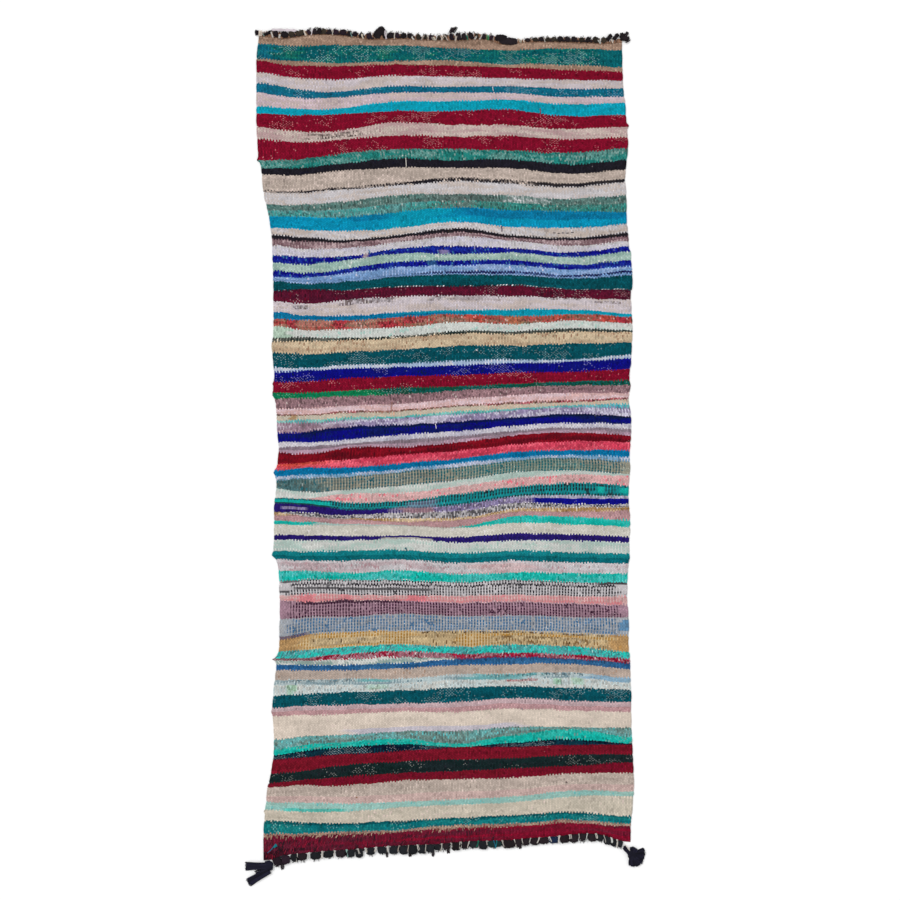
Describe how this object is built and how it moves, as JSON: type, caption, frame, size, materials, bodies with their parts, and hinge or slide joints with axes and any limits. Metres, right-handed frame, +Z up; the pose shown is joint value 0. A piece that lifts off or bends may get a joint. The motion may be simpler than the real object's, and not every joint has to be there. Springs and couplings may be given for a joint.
{
  "type": "rag rug",
  "caption": "Long flat-woven rag rug with uneven stripes, waisted edges, a row of yarn knots along each end and small tassels at the corners.",
  "frame": {"origin": "under the middle of the whole rug, on the plane of its underside", "axes": "+Z up out of the face of the rug, +Y along its length towards the end with the small knots, +X across its width"},
  "size_m": [1.2025, 2.5736, 0.012],
  "materials": {
    "rag_cloth": "matt weft-faced plain weave of cut rags in many coloured stripes",
    "black_wool": "matt twisted yarn"
  },
  "bodies": {
    "root": {"rug_cloth": "rag_cloth", "upper_knot_edge": "black_wool", "lower_knot_edge": "black_wool", "lower_left_tassel": "black_wool", "lower_right_tassel": "black_wool", "upper_right_tassel": "black_wool", "upper_left_tie": "black_wool", "upper_middle_tie": "black_wool"}
  },
  "joints": []
}
